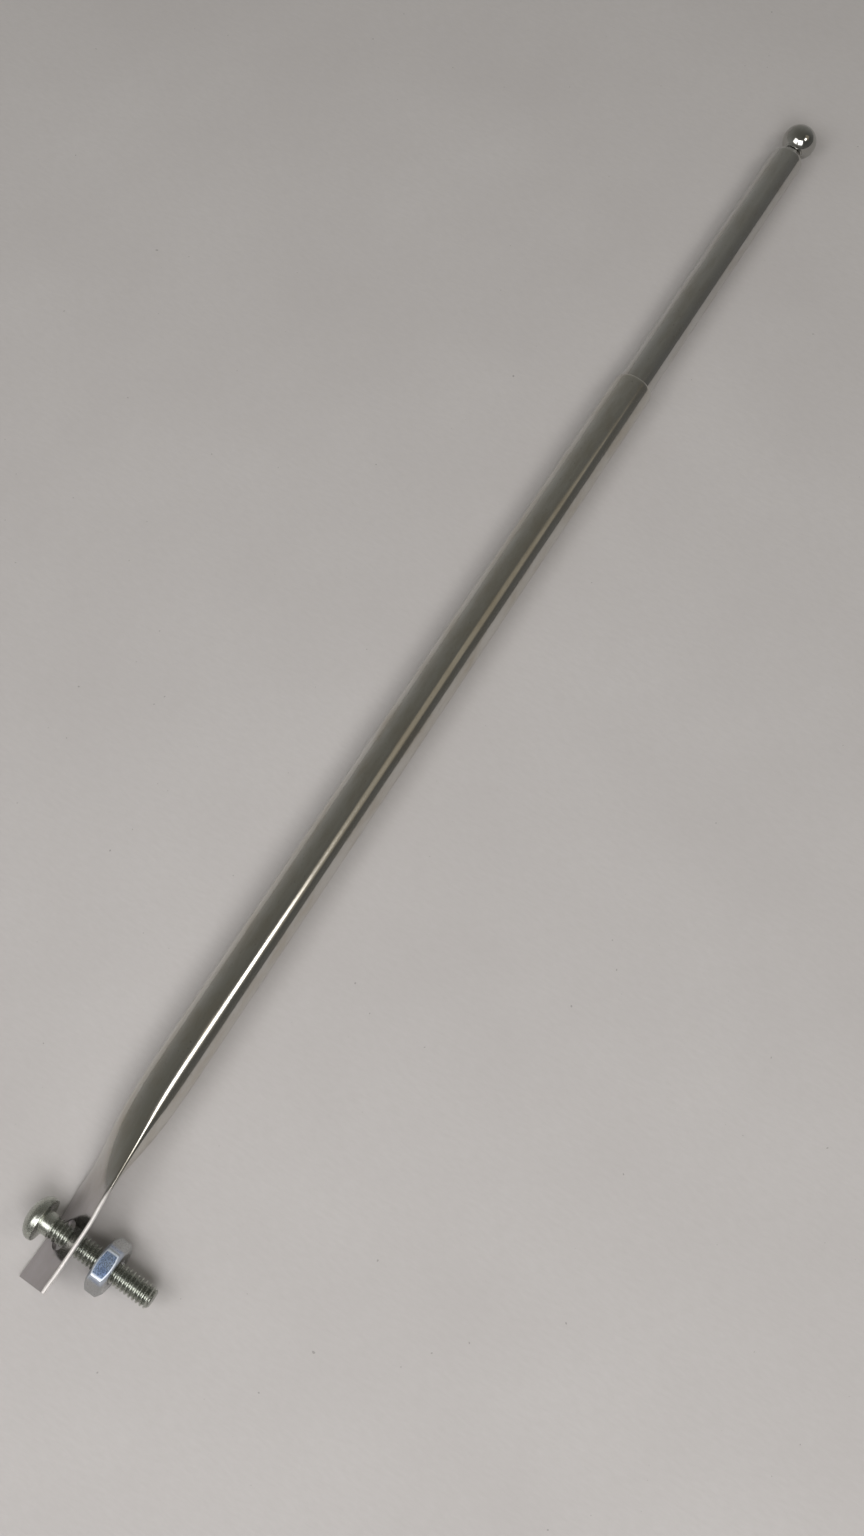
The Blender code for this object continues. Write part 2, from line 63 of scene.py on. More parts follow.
EDGE_HIGHLIGHT_WIDTH = 0.0005           # pale strip along the blade's folded edges, a painted highlight
PRESSED_FADE = 0.012          # length over which the pressed face's colour fades out

# Bushes, springs and ball
FLANGE = 0.00094
BUSH_LENGTH = 0.00656
GROOVE_DEPTH = 0.00041
SPIGOT_GAP = 0.00003
BUSH_HOLE_SHARE = 0.6
SPRING_THICKNESS = 0.00014
SPRING_SLIT = 0.00059
STUB_SHARE = 0.6
TIP_SOCKET = 0.0042
BALL_COLLAR_RADIUS = 0.0021
TURNED_EDGE = 0.00008         # rounding of turned edges
TUBE_CHAMFER = 0.00004        # at the bottom of each sliding tube
BULGE_SHARE = 0.3             # of a spring's length, over which it swells at each end

# Screw and nut
THREAD_PITCH = 0.000794
THREAD_RADIUS = 0.00204
THREAD_DEPTH = 0.00044
THREAD_CREST = 0.00012
THREAD_TOP = -0.0002
THREAD_PLAY = 0.00006
NECK_RADIUS = 0.00207
PLAIN_NECK = 0.00176
SHANK_TOP = -0.0006           # where the shank's own rings start, under the head
HEAD_FILLET = 0.00012
HEAD_RIM = 0.0007
HEAD_UNDER_SHARE = 0.97
SLOT_WIDTH = 0.00117
SLOT_DEPTH = 0.0014
NUT_FACE_SHARE = 0.95
NUT_HALF_FLATS = 0.004445
NUT_MIDDLE = -0.01329         # on the screw's axis, from under its head
NUT_CORNER = 0.00045          # rounding of the nut's upright edges
NUT_EDGE = 0.00020            # rounding of the nut's chamfer edges
SINK_PLAY = 0.00012           # countersink of the nut's bore, past the thread
SINK_DEPTH = 0.0005
WORN_FROM = 0.75              # share of the half thickness where the bore starts to widen
WORN_SLOPE = 1.2
BLUE_REFLECTION_HEIGHTS = (0.0023, 0.0042)    # above the screw's origin, where the painted blue reflection on the up-facing flats sets in
RIM_HIGHLIGHT_SLOPES = (0.00373, 0.00386)    # painted highlight on the rim of the nut's chamfers
RIM_HIGHLIGHT_RADII = (0.00485, 0.00495)     # and of its upright edges

# Facets
SIDE_STEPS = 36               # across the blade
EDGE_STEPS = 8                # round each of the blade's edges
END_RINGS = 6                 # from the blade's cut end to the stretch round its hole
PATCH_RINGS = 12
RIM_STEPS = 3                 # over each rim of the blade's hole
FLAT_RINGS = 5                # from the stretch round the hole to the flat's end
LOFT_RINGS = 56
STRAIGHT_RINGS = 24           # along the round tube
BORE_RINGS = 20
LIP_STEPS = 8                 # over the outside of a rolled-in mouth
INNER_LIP_STEPS = 5
LATHE_STEPS = 96
BALL_RINGS = 48
SPRING_STEPS = 12
HEAD_RINGS = 24
NUT_CORNER_STEPS = 6
NUT_SIDE_STEPS = 16
THREAD_STEPS = 64
THREAD_SAMPLES = 20           # rings in each thread pitch
SHARP = math.radians(40)
HEAD_FIT = 0.985              # scale of the smooth head, to stay inside the CAD's box
BALL_FIT = 0.994

# View
CAMERA_OFFSET = Vector((0.0083345, -0.0698940))   # sideways from the blade's cut end
CAMERA_HEIGHT = 0.2977246
CAMERA_RIGHT = Vector((0.51835, -0.85514, 0.00697))
CAMERA_DOWN = Vector((-0.78837, -0.48101, -0.38354))
LENS = 39.96
SENSOR = 36.0


# ---- Places, from the frame ----

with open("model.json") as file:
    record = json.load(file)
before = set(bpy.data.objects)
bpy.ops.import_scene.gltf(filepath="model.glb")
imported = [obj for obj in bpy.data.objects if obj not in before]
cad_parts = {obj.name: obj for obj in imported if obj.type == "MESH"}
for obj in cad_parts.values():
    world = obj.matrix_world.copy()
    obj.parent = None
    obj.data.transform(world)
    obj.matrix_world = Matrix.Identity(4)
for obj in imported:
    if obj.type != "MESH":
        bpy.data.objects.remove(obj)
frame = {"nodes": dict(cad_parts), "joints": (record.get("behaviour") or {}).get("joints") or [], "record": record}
CAD_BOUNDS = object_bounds()
JOINTS = {joint["name"]: joint for joint in frame["joints"]}
MOUNTS = {mount["name"]: mount for mount in frame["record"]["mounts"]}


def axes(origin, along, across):
    """A frame with its Z axis along, and its X axis as near across as it can be."""
    z = along.normalized()
    y = z.cross(across).normalized()
    x = y.cross(z)
    place = Matrix((x, y, z)).transposed().to_4x4()
    place.translation = origin
    return place


HOLE = Vector(JOINTS["screw_turn"]["pos_m"])
ROD_WAY = Vector(JOINTS["section_2_slide"]["axis"])
NUT_SIDE = -Vector(MOUNTS["blade_head_face"]["axis"])
ROD = axes(HOLE - ROD_WAY * HOLE_DISTANCE - NUT_SIDE * BLADE_BOW, ROD_WAY, NUT_SIDE.cross(ROD_WAY))
HEAD_WAY = -Vector(JOINTS["screw_turn"]["axis"])
SEAT = Vector(MOUNTS["screw_head_seat"]["pos_m"])
UNDER_HEAD = HOLE + HEAD_WAY * (SEAT - HOLE).dot(HEAD_WAY)
SCREW = axes(UNDER_HEAD, HEAD_WAY, SEAT - UNDER_HEAD)


def span(node, place):
    """Lowest and highest point of a node along an axis, and its radius about it."""
    back = place.inverted()
    points = [back @ vertex.co for vertex in frame["nodes"][node].data.vertices]
    heights = [point.z for point in points]
    return min(heights), max(heights), max(math.hypot(point.x, point.y) for point in points)


# ---- Mesh work ----

def skin(bm, rings, closed=False):
    """Faces between rings of equal counts; a ring of one point is a pole."""
    rows = [[bm.verts.new(point) for point in ring] for ring in rings]
    pairs = list(zip(rows, rows[1:]))
    if closed:
        pairs.append((rows[-1], rows[0]))
    for row, following in pairs:
        count = max(len(row), len(following))
        for i in range(count):
            j = (i + 1) % count
            if len(row) == 1:
                bm.faces.new((row[0], following[j], following[i]))
            elif len(following) == 1:
                bm.faces.new((row[i], row[j], following[0]))
            else:
                bm.faces.new((row[i], row[j], following[j], following[i]))
    return rows


def circle(radius, height, steps=LATHE_STEPS):
    if radius < 1e-9:
        return [Vector((0, 0, height))]
    return [Vector((radius * math.cos(2 * math.pi * i / steps),
                    radius * math.sin(2 * math.pi * i / steps), height)) for i in range(steps)]


def eased(share):
    share = min(1.0, max(0.0, share))
    return share * share * (3 - 2 * share)


def filleted(points, radius, closed, steps=4):
    """A profile with its corners rounded."""
    made = []
    count = len(points)
    for i, point in enumerate(points):
        if not closed and i in (0, count - 1):
            made.append(point)
            continue
        corner = Vector(point)
        before = Vector(points[i - 1]) - corner
        after = Vector(points[(i + 1) % count]) - corner
        cut = min(radius, before.length * 0.45, after.length * 0.45)
        start = corner + before.normalized() * cut
        end = corner + after.normalized() * cut
        for k in range(steps + 1):
            t = k / steps
            spot = start * (1 - t) ** 2 + corner * 2 * t * (1 - t) + end * t * t
            made.append((spot.x, spot.y))
    return made


def finish_mesh(bm, name):
    bmesh.ops.recalc_face_normals(bm, faces=bm.faces)
    mesh = bpy.data.meshes.new(name)
    bm.to_mesh(mesh)
    bm.free()
    mesh.shade_smooth()
    mesh.set_sharp_from_angle(angle=SHARP)
    return mesh


def add_piece(name, mesh, place, node, material):
    piece = bpy.data.objects.new(name, mesh)
    bpy.context.scene.collection.objects.link(piece)
    mesh.transform(place)
    mesh.materials.append(material)
    body = next(key for key, nodes in frame["record"]["behaviour"]["bodies"].items()
                if node in nodes)
    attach(piece, body)
    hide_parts(node)
    return piece


def lathe(name, profile, closed, node, material):
    """A piece turned about the rod's axis, from its (radius, distance) profile."""
    bm = bmesh.new()
    rings = [circle(r, z) for r, z in filleted(profile, TURNED_EDGE, closed)]
    skin(bm, rings, closed)
    add_piece(name, finish_mesh(bm, name), ROD, node, material)


# ---- Materials ----

class Nodes:
    """Short hand for a material's node tree."""

    def __init__(self, name, place):
        self.material = bpy.data.materials.new(name)
        self.material.use_nodes = True
        self.tree = self.material.node_tree
        self.shader = self.tree.nodes["Principled BSDF"]
        own = self.tree.nodes.new("ShaderNodeTexCoord").outputs["Object"]
        axis = self.tree.nodes.new("ShaderNodeMapping")
        back = place.inverted()
        axis.inputs["Location"].default_value = back.translation
        axis.inputs["Rotation"].default_value = back.to_euler()
        self.link(own, axis.inputs["Vector"])
        self.coords = axis.outputs["Vector"]

    def link(self, a, b):
        self.tree.links.new(a, b)

    def scaled(self, scale):
        node = self.tree.nodes.new("ShaderNodeMapping")
        node.inputs["Scale"].default_value = scale
        self.link(self.coords, node.inputs["Vector"])
        return node.outputs["Vector"]

    def noise(self, scale, detail=4.0, rough=0.6):
        node = self.tree.nodes.new("ShaderNodeTexNoise")
        node.inputs["Scale"].default_value = 1.0
        node.inputs["Detail"].default_value = detail
        node.inputs["Roughness"].default_value = rough
        self.link(self.scaled(scale), node.inputs["Vector"])
        return node.outputs["Fac"]

    def remap(self, value, low, high, to_low, to_high):
        node = self.tree.nodes.new("ShaderNodeMapRange")
        for key, number in (("From Min", low), ("From Max", high), ("To Min", to_low),
                            ("To Max", to_high)):
            node.inputs[key].default_value = number
        self.link(value, node.inputs["Value"])
        return node.outputs["Result"]

    def maths(self, operation, a, b=None):
        node = self.tree.nodes.new("ShaderNodeMath")
        node.operation = operation
        for socket, value in zip(node.inputs, (a, b)):
            if isinstance(value, (int, float)):
                socket.default_value = value
            elif value is not None:
                self.link(value, socket)
        return node.outputs[0]

    def mix(self, factor, a, b):
        node = self.tree.nodes.new("ShaderNodeMix")
        node.data_type = "RGBA"
        self.link(factor, node.inputs["Factor"])
        for key, value in (("A", a), ("B", b)):
            socket = [s for s in node.inputs if s.name == key and s.type == "RGBA"][0]
            if isinstance(value, tuple):
                socket.default_value = (*value, 1.0)
            else:
                self.link(value, socket)
        return [s for s in node.outputs if s.type == "RGBA"][0]

    def bump(self, height, distance, strength=1.0):
        node = self.tree.nodes.new("ShaderNodeBump")
        node.inputs["Strength"].default_value = strength
        node.inputs["Distance"].default_value = distance
        self.link(height, node.inputs["Height"])
        self.link(node.outputs["Normal"], self.shader.inputs["Normal"])

    def finish(self, colour, roughness, metallic=1.0):
        self.link(colour, self.shader.inputs["Base Color"])
        self.link(roughness, self.shader.inputs["Roughness"])
        self.shader.inputs["Metallic"].default_value = metallic
        return self.material

    def split(self):
        """X, Y and Z of the piece's own coordinates."""
        node = self.tree.nodes.new("ShaderNodeSeparateXYZ")
        self.link(self.coords, node.inputs[0])
        return node.outputs

    def radius(self):
        """Distance from the piece's own Z axis."""
        squares = [self.maths("MULTIPLY", axis, axis) for axis in self.split()[:2]]
        return self.maths("SQRT", self.maths("ADD", *squares))


def plated(name, colour, wear_and_rim_highlight, roughness, streak=0.0000012, fold=0.0):
    """Plate with fine lengthwise polishing marks, faint tarnish and small pits.

    A fold width adds the blade's duller pressed face and a pale painted highlight along its folded edges.
    """
    nodes = Nodes(name, ROD)
    marks = nodes.noise((9000, 9000, 90), 3.0, 0.7)
    tarnish = nodes.noise((320, 320, 110), 5.0, 0.62)
    pits = nodes.noise((2600, 2600, 2600), 2.0, 0.5)
    tint = nodes.mix(nodes.remap(tarnish, 0.42, 0.72, 0.0, 1.0), colour, wear_and_rim_highlight)
    spotted = nodes.mix(nodes.remap(pits, 0.68, 0.76, 0.0, 0.55), tint,
                        tuple(0.45 * c for c in wear_and_rim_highlight))
    rough = nodes.maths("ADD", nodes.remap(tarnish, 0.35, 0.75, roughness, roughness * 2.0),
                        nodes.remap(marks, 0.3, 0.7, 0.0, 0.03))
    nodes.bump(marks, streak)
    if fold:
        x, _, z = nodes.split()
        pressed = nodes.remap(z, BLADE_FLAT, BLADE_FLAT + PRESSED_FADE, 1.0, 0.0)
        face = nodes.mix(nodes.remap(tarnish, 0.35, 0.7, 0.0, 1.0), (0.45, 0.43, 0.44),
                         (0.39, 0.37, 0.37))
        spotted = nodes.mix(pressed, spotted, face)
        across = nodes.maths("ABSOLUTE", x)
        # Painted highlight: a pale strip along the blade's folded edges, also made rougher there.
        edge_highlight = nodes.remap(across, BLADE_HALF_WIDTH - fold, BLADE_HALF_WIDTH - fold / 2, 0.0, 1.0)
        spotted = nodes.mix(edge_highlight, spotted, (0.95, 0.92, 0.90))
        rough = nodes.maths("ADD", rough, nodes.maths("MULTIPLY", edge_highlight, 0.45))
    return nodes.finish(spotted, rough)


def threaded_zinc(name, colour, root_shade_colour, roughness):
    """Zinc plate, with painted shade that darkens the thread's roots."""
    nodes = Nodes(name, SCREW)
    grain = nodes.noise((5200, 5200, 5200), 4.0, 0.65)
    cloud = nodes.noise((620, 620, 620), 4.0, 0.6)
    # Painted shade: the thread's roots are darkened towards the dark colour, patchily.
    root = nodes.remap(nodes.radius(), THREAD_RADIUS - THREAD_DEPTH,
                       THREAD_RADIUS - THREAD_DEPTH * 0.3, 1.0, 0.0)
    root_shade = nodes.maths("MULTIPLY", root, nodes.remap(cloud, 0.3, 0.7, 0.45, 1.0))
    tint = nodes.mix(nodes.remap(cloud, 0.38, 0.68, 0.0, 0.7), colour,
                     tuple(c * 0.72 for c in colour))
    shade = nodes.mix(root_shade, tint, root_shade_colour)
    rough = nodes.remap(grain, 0.3, 0.7, roughness * 0.75, roughness * 1.4)
    nodes.bump(grain, 0.000003)
    return nodes.finish(shade, rough)


def zinc_with_painted_blue(name):
    """Zinc, nearly grey below, with a blue passivate tint painted only on the flats that face up as a painted
    reflection, and painted highlights on their rims.
    """
    nodes = Nodes(name, SCREW)
    grain = nodes.noise((4200, 4200, 4200), 4.0, 0.6)
    film = nodes.noise((420, 420, 420), 3.0, 0.5)
    # Painted reflection: blue only where the nut faces up, grey below, going by height along the world's up.
    axis = nodes.tree.nodes.new("ShaderNodeVectorMath")
    axis.operation = "DOT_PRODUCT"
    up = SCREW.to_3x3().inverted() @ Vector((0, 0, 1))
    axis.inputs[1].default_value = up
    nodes.link(nodes.coords, axis.inputs[0])
    height = nodes.remap(axis.outputs["Value"], *BLUE_REFLECTION_HEIGHTS, 0.0, 1.0)
    blue = nodes.mix(nodes.remap(film, 0.35, 0.65, 0.0, 1.0), (0.26, 0.40, 0.74),
                     (0.52, 0.66, 0.88))
    shade = nodes.mix(height, (0.46, 0.47, 0.47), blue)
    radius = nodes.radius()
    off_middle = nodes.maths("ABSOLUTE", nodes.maths("SUBTRACT", nodes.split()[2], NUT_MIDDLE))
    slope = nodes.maths("ADD", off_middle, nodes.maths("MULTIPLY", radius, math.tan(math.pi / 6)))
    # Painted highlight: pale rims on the chamfers and upright edges, only on the up-facing flats. The roughness
    # rises on all rims.
    rim_highlight = nodes.maths("MAXIMUM", nodes.remap(slope, *RIM_HIGHLIGHT_SLOPES, 0.0, 1.0),
                      nodes.remap(radius, *RIM_HIGHLIGHT_RADII, 0.0, 1.0))
    wear_and_rim_highlight = nodes.mix(nodes.maths("MULTIPLY", rim_highlight, height), shade, (0.82, 0.86, 0.90))
    rough = nodes.maths("ADD", nodes.remap(grain, 0.3, 0.7, 0.20, 0.36),
                        nodes.maths("MULTIPLY", rim_highlight, 0.15))
    nodes.bump(grain, 0.000003)
    return nodes.finish(wear_and_rim_highlight, rough)


def paper(name):
    """Matt paper: fibres, faint clouds and a few dark specks."""
    nodes = Nodes(name, Matrix.Identity(4))
    cloud = nodes.noise((22, 22, 22), 5.0, 0.55)
    fibre = nodes.noise((1500, 420, 900), 5.0, 0.7)
    specks = nodes.noise((900, 900, 900), 1.0, 0.4)
    ground = nodes.mix(nodes.remap(cloud, 0.3, 0.7, 0.0, 1.0), (0.560, 0.538, 0.530),
                       (0.600, 0.580, 0.572))
    fibrous = nodes.mix(nodes.remap(fibre, 0.3, 0.75, 0.0, 0.35), ground, (0.49, 0.47, 0.455))
    shade = nodes.mix(nodes.remap(specks, 0.80, 0.83, 0.0, 0.6), fibrous, (0.25, 0.24, 0.23))
    nodes.bump(fibre, 0.00002, 0.5)
    nodes.shader.inputs["Specular IOR Level"].default_value = 0.25
    return nodes.finish(shade, nodes.remap(fibre, 0.3, 0.7, 0.75, 0.9), 0.0)


# ---- Tubes ----

RUN = BLADE_HALF_WIDTH - BLADE_HALF_THICKNESS


def outline(inset=0.0, edge_inset=0.0):
    """(x, y, turn) points round the flat blade; turn is the same point's angle on the tube."""
    half = BLADE_HALF_THICKNESS - inset
    run = RUN - edge_inset
    bend = math.pi * BLADE_HALF_THICKNESS
    whole = 4 * RUN + 2 * bend
    points = []
    along = -bend / 2
    for side in (1, -1):
        for i in range(EDGE_STEPS):
            angle = math.pi * (i / EDGE_STEPS - 0.5)
            points.append((side * (run + half * math.cos(angle)), side * half * math.sin(angle),
                           along + bend * i / EDGE_STEPS))
        along += bend
        for i in range(SIDE_STEPS):
            points.append((side * run * (1 - 2 * i / SIDE_STEPS), side * half,
                           along + 2 * RUN * i / SIDE_STEPS))
        along += 2 * RUN
    return [(x, y, 2 * math.pi * s / whole) for x, y, s in points]


def bow(distance):
    if distance < BOW_START:
        share = BOW_AT_END + (1 - BOW_AT_END) * eased(distance / BOW_START)
    else:
        share = 1 - eased((distance - BOW_END) / BOW_FADE)
    return BLADE_BOW * share


def tube_ring(distance, radius, inset=0.0, edge_inset=0.0):
    """A ring of the outer tube: flat at the blade, round past the transition."""
    flat = eased((BLADE_FLAT + TRANSITION - distance) / TRANSITION) ** FLATTENING
    return [Vector((radius * math.cos(turn) * (1 - flat) + x * flat,
                    radius * math.sin(turn) * (1 - flat) + y * flat + bow(distance), distance))
            for x, y, turn in outline(inset, edge_inset)]


def mouth_profile(radius, mouth_radius, mouth):
    """(radius, distance) points over a rolled-in mouth, from outside to the bore."""
    lip = (radius + mouth_radius) / 2
    points = [(radius, mouth - MOUTH_ROLL)]
    for i in range(1, LIP_STEPS + 1):
        angle = math.pi / 2 * i / LIP_STEPS
        points.append((lip + (radius - lip) * math.cos(angle),
                       mouth - MOUTH_ROLL * (1 - math.sin(angle))))
    for i in range(1, INNER_LIP_STEPS + 1):
        angle = math.pi / 2 * i / INNER_LIP_STEPS
        points.append((lip + (mouth_radius - lip) * math.sin(angle),
                       mouth - MOUTH_ROLL * 0.25 * (1 - math.cos(angle))))
    points.append((mouth_radius, mouth - MOUTH_ROLL * 0.5))
    points.append((radius - WALL, mouth - MOUTH_ROLL * 1.2))
    return points


def holed_blade(bm, low_ring, high_ring):
    """The stretch of the blade with its hole: both flats, both edges and the hole's wall."""
    low, high = low_ring[0].co.z, high_ring[0].co.z
    count = SIDE_STEPS
    heights = [low + (high - low) * j / count for j in range(1, count)]
    strip_starts = (0, EDGE_STEPS + SIDE_STEPS)
    ring_points = outline()
    total = len(ring_points)
    columns = {}
    for start in strip_starts:
        rows = [[low_ring[(start + i) % total] for i in range(EDGE_STEPS + 1)]]
        for height in heights:
            rows.append([bm.verts.new((ring_points[(start + i) % total][0],
                                       ring_points[(start + i) % total][1] + bow(height), height))
                         for i in range(EDGE_STEPS + 1)])
        rows.append([high_ring[(start + i) % total] for i in range(EDGE_STEPS + 1)])
        for row, following in zip(rows, rows[1:]):
            for i in range(EDGE_STEPS):
                bm.faces.new((row[i], row[i + 1], following[i + 1], following[i]))
        columns[start] = rows
    right, left = columns[0], columns[strip_starts[1]]

    def flat_loop(upper):
        """Border of one flat, from its right side at the low ring, leftwards and round."""
        offset = EDGE_STEPS if upper else EDGE_STEPS * 2 + SIDE_STEPS
        side = range(SIDE_STEPS + 1)
        low_row = [low_ring[(offset + i) % total] for i in side]
        high_row = [high_ring[(offset + i) % total] for i in side]
        right_column = [row[-1 if upper else 0] for row in right]
        left_column = [row[0 if upper else -1] for row in left]
        if not upper:
            low_row.reverse()
            high_row.reverse()
        return (low_row[:-1] + left_column[:-1] + list(reversed(high_row))[:-1]
                + list(reversed(right_column))[:-1])

    rims = []
    for upper in (True, False):
        side = 1 if upper else -1
        border = flat_loop(upper)
        rows = [border]
        for k in range(1, PATCH_RINGS + 1):
            share = k / PATCH_RINGS
            row = []
            for vertex in border:
                angle = math.atan2(vertex.co.z - HOLE_DISTANCE, vertex.co.x)
                radius = HOLE_RADIUS + EDGE
                x = vertex.co.x * (1 - share) + radius * math.cos(angle) * share
                z = vertex.co.z * (1 - share) + (HOLE_DISTANCE + radius * math.sin(angle)) * share
                row.append(bm.verts.new((x, side * BLADE_HALF_THICKNESS + bow(z), z)))
            rows.append(row)
        for k in range(1, RIM_STEPS + 1):
            turn = math.pi / 2 * k / RIM_STEPS
            radius = HOLE_RADIUS + EDGE * (1 - math.sin(turn))
            drop = EDGE * (1 - math.cos(turn))
            row = []
            for vertex in border:
                angle = math.atan2(vertex.co.z - HOLE_DISTANCE, vertex.co.x)
                z = HOLE_DISTANCE + radius * math.sin(angle)
                row.append(bm.verts.new((radius * math.cos(angle),
                                         side * (BLADE_HALF_THICKNESS - drop) + bow(z), z)))
            rows.append(row)
        for row, following in zip(rows, rows[1:]):
            for i in range(len(row)):
                j = (i + 1) % len(row)
                bm.faces.new((row[i], row[j], following[j], following[i]))
        rims.append(rows[-1])
    for i in range(len(rims[0])):
        j = (i + 1) % len(rims[0])
        bm.faces.new((rims[0][i], rims[0][j], rims[1][j], rims[1][i]))


def outer_tube(material):
    _, mouth, _ = span("outer_tube", ROD)
    radius = OUTER_RADIUS
    bm = bmesh.new()
    low, high = HOLE_DISTANCE - PATCH_REACH, HOLE_DISTANCE + PATCH_REACH
    first = [tube_ring(0.0, radius, EDGE, EDGE)]
    first += [tube_ring(EDGE, radius)]
    first += [tube_ring(EDGE + (low - EDGE) * i / END_RINGS, radius)
              for i in range(1, END_RINGS + 1)]
    rows = skin(bm, first)
    bm.faces.new(rows[0])
    rings = [tube_ring(high, radius)]
    rings += [tube_ring(high + (BLADE_FLAT - high) * i / FLAT_RINGS, radius)
              for i in range(1, FLAT_RINGS + 1)]
    rings += [tube_ring(BLADE_FLAT + TRANSITION * i / LOFT_RINGS, radius)
              for i in range(1, LOFT_RINGS + 1)]
    round_start = BLADE_FLAT + TRANSITION
    rings += [tube_ring(round_start + (mouth - MOUTH_ROLL - round_start) * i / STRAIGHT_RINGS,
                        radius) for i in range(1, STRAIGHT_RINGS)]
    _, _, inner = span("section_2_tube", ROD)
    for r, z in mouth_profile(radius, inner + MOUTH_PLAY, mouth):
        rings.append(tube_ring(z, r))
    for i in range(BORE_RINGS + 1):
        distance = round_start - BORE_CLOSING * TRANSITION * i / BORE_RINGS
        rings.append(tube_ring(distance, radius - WALL, CLOSED_WALL, WALL))
    more = skin(bm, rings)
    bm.faces.new(more[-1])
    holed_blade(bm, rows[-1], more[0])
    add_piece("outer_tube_chromed", finish_mesh(bm, "outer_tube_chromed"), ROD, "outer_tube",
              material)


def sliding_tubes(material):
    for section in range(2, 6):
        node = f"section_{section}_tube"
        bottom, mouth, radius = span(node, ROD)
        inside = f"section_{section + 1}_tube" if section < 5 else "tip_rod"
        inner = span(inside, ROD)[2] + MOUTH_PLAY
        bm = bmesh.new()
        profile = [(radius - WALL, bottom), (radius - TUBE_CHAMFER, bottom),
                   (radius, bottom + TUBE_CHAMFER)]
        profile += mouth_profile(radius, inner, mouth)
        skin(bm, [circle(r, z) for r, z in profile], closed=True)
        add_piece(f"section_{section}_chromed", finish_mesh(bm, node), ROD, node,
                  material)


def tip(material, ball_material):
    bottom, top, radius = span("tip_rod", ROD)
    step = bottom + BUSH_LENGTH
    stub = radius * STUB_SHARE
    lathe("tip_rod_chromed", [(0, bottom), (stub, bottom), (stub, step), (radius, step),
                              (radius, top), (0, top)], False, "tip_rod",
          material)
    low, high, ball = span("tip_ball", ROD)
    centre = high - ball
    ball *= BALL_FIT
    high = centre + ball
    start = -math.acos(BALL_COLLAR_RADIUS / ball)
    profile = [(0, high)]
    for i in range(1, BALL_RINGS + 1):
        angle = math.pi / 2 + (start - math.pi / 2) * i / BALL_RINGS
        profile.append((ball * math.cos(angle), centre + ball * math.sin(angle)))
    hole = radius + SPIGOT_GAP
    profile += filleted([profile[-1], (BALL_COLLAR_RADIUS, low), (hole, low)], TURNED_EDGE,
                        False)[1:]
    profile += [(hole, low + TIP_SOCKET), (0, low + TIP_SOCKET)]
    bm = bmesh.new()
    skin(bm, [circle(r, z) for r, z in profile])
    add_piece("tip_ball_polished", finish_mesh(bm, "tip_ball_polished"), ROD, "tip_ball",
              ball_material)


def bushes(brass, bronze):
    for section in range(2, 7):
        node = f"section_{section}_bush"
        bottom, top, flange = span(node, ROD)
        groove = flange - GROOVE_DEPTH
        spring_low, spring_high, high = span(f"section_{section}_spring", ROD)
        collar_top = bottom + BUSH_LENGTH
        points = [(groove, collar_top - FLANGE), (groove, bottom + FLANGE),
                  (flange, bottom + FLANGE), (flange, bottom)]
        if section == 6:
            hole = span("tip_rod", ROD)[2] * STUB_SHARE + SPIGOT_GAP
            points = [(hole, top), (flange, top), (flange, collar_top - FLANGE)] + points
        else:
            spigot = span(f"section_{section}_tube", ROD)[2] - WALL - SPIGOT_GAP
            hole = spigot * BUSH_HOLE_SHARE
            shoulder = collar_top - SPIGOT_GAP
            points = [(hole, top), (spigot, top), (spigot, shoulder), (flange, shoulder),
                      (flange, collar_top - FLANGE)] + points
        points.append((hole, bottom))
        lathe(f"section_{section}_bush_turned", points, True, node, brass)

        low = groove + SPIGOT_GAP
        slit = SPRING_SLIT / 2 / high
        outside = []
        for i in range(SPRING_STEPS + 1):
            share = i / SPRING_STEPS
            bulge = eased(min(share, 1 - share) / BULGE_SHARE)
            outside.append((low + SPRING_THICKNESS + (high - low - SPRING_THICKNESS) * bulge,
                            spring_low + (spring_high - spring_low) * share))
        profile = outside + [(r - SPRING_THICKNESS, z) for r, z in reversed(outside)]
        bm = bmesh.new()
        sections = []
        for i in range(LATHE_STEPS + 1):
            angle = slit + (2 * math.pi - 2 * slit) * i / LATHE_STEPS
            sections.append([Vector((r * math.cos(angle), r * math.sin(angle), z))
                             for r, z in profile])
        rows = skin(bm, sections)
        bm.faces.new(rows[0])
        bm.faces.new(rows[-1])
        add_piece(f"section_{section}_spring_rolled", finish_mesh(bm, node + "_spring"), ROD,
                  f"section_{section}_spring", bronze)


# ---- Screw and nut ----

def thread_radius(angle, height):
    """Radius of the screw's thread at an angle and a height on its axis."""
    phase = (height - THREAD_TOP) / THREAD_PITCH - angle / (2 * math.pi)
    away = abs(phase - round(phase)) * THREAD_PITCH
    crest = THREAD_CREST / 2
    foot = crest + math.tan(math.radians(30)) * THREAD_DEPTH
    share = min(1.0, max(0.0, (away - crest) / (foot - crest)))
    return THREAD_RADIUS - THREAD_DEPTH * (share + eased(share)) / 2


